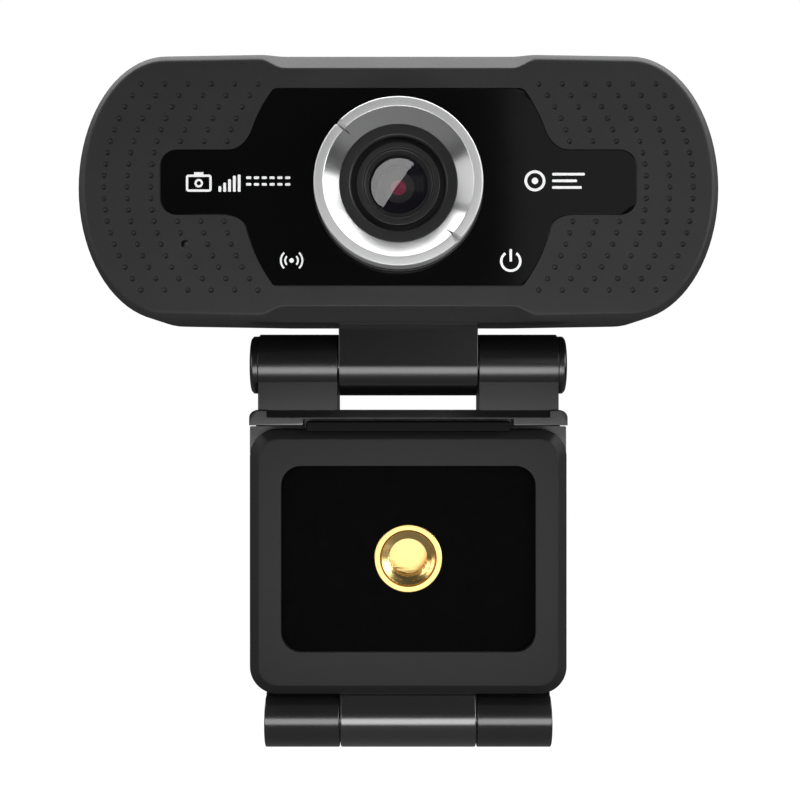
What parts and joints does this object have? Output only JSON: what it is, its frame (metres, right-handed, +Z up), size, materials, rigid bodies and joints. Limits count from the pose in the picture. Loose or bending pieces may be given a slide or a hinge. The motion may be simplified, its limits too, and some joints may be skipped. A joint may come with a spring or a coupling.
{
  "type": "clip-on webcam",
  "caption": "Wide pill-shaped webcam head with a focus ring, on a folding three-leaf monitor clip with a threaded tripod socket.",
  "frame": {"origin": "mouth of the tripod socket in the foot, on the socket's axis", "axes": "-Y out of the socket and out of the lens, towards the front; +Z up through the camera head; +X to the right seen from the front"},
  "size_m": [0.0826, 0.026, 0.0914],
  "materials": {
    "shell_plastic": "fine-grained dark grey moulding",
    "panel_gloss": "gloss black inlay",
    "lens_black": "satin black",
    "ring_metal": "turned and polished",
    "hinge_plastic": "satin black moulding",
    "foot_plastic": "fine-grained dark grey moulding",
    "pad_rubber": "smooth black rubber",
    "socket_brass": "turned brass",
    "steel": "zinc-plated steel",
    "lens_glass": "coated optical glass",
    "filter_glass": "tinted filter glass",
    "board_green": "solder mask",
    "chip_black": "moulded chip",
    "header_white": "natural nylon",
    "capsule_metal": "drawn can",
    "lamp_clear": "clear and milky acrylic"
  },
  "bodies": {
    "foot": {"foot_frame": "foot_plastic", "foot_pad": "pad_rubber", "tripod_insert": "socket_brass", "foot_catch": "hinge_plastic", "foot_pin": "steel"},
    "leg": {"leg_plate": "hinge_plastic", "leg_pin": "steel"},
    "saddle": {"saddle": "hinge_plastic", "tilt_pin": "steel", "tilt_cap_left": "hinge_plastic", "tilt_cap_right": "hinge_plastic", "saddle_pad": "pad_rubber"},
    "head": {"front_bezel": "shell_plastic", "face_panel": "panel_gloss", "rear_shell": "shell_plastic", "shell_screws": "steel", "ring_seat": "lens_black", "lens_mount": "lens_black", "mount_screws": "steel", "ir_filter": "filter_glass", "image_sensor": "chip_black", "main_board": "board_green", "board_screws": "steel", "image_processor": "chip_black", "cable_header": "header_white", "mic_capsule": "capsule_metal", "mic_gasket": "pad_rubber", "status_leds": "lamp_clear", "light_guides": "lamp_clear", "cable_grommet": "pad_rubber", "tilt_block": "hinge_plastic", "block_screws": "steel", "tilt_bush": "header_white"},
    "focus": {"focus_ring": "ring_metal", "lens_collar": "lens_black", "lens_barrel": "lens_black", "front_retainer": "lens_black", "front_lens": "lens_glass", "front_spacer": "lens_black", "aperture_stop": "lens_black", "middle_lens": "lens_glass", "rear_spacer": "lens_black", "rear_lens": "lens_glass"}
  },
  "joints": [
    {"name": "foot_fold", "type": "hinge", "parent": "foot", "child": "leg", "pos_m": [0, 0.003, -0.0222], "axis": [1, 0, 0], "range_deg": [-110, 0]},
    {"name": "leg_fold", "type": "hinge", "parent": "leg", "child": "saddle", "pos_m": [0, 0.0092, 0.01725], "axis": [1, 0, 0], "range_deg": [-95, 0]},
    {"name": "head_tilt", "type": "hinge", "parent": "saddle", "child": "head", "pos_m": [0, 0.0022, 0.0258], "axis": [1, 0, 0], "range_deg": [-30, 45]},
    {"name": "focus_turn", "type": "hinge", "parent": "head", "child": "focus", "pos_m": [-0.0013, -0.0068, 0.0484], "axis": [0, -1, 0], "range_deg": [-90, 90]}
  ]
}
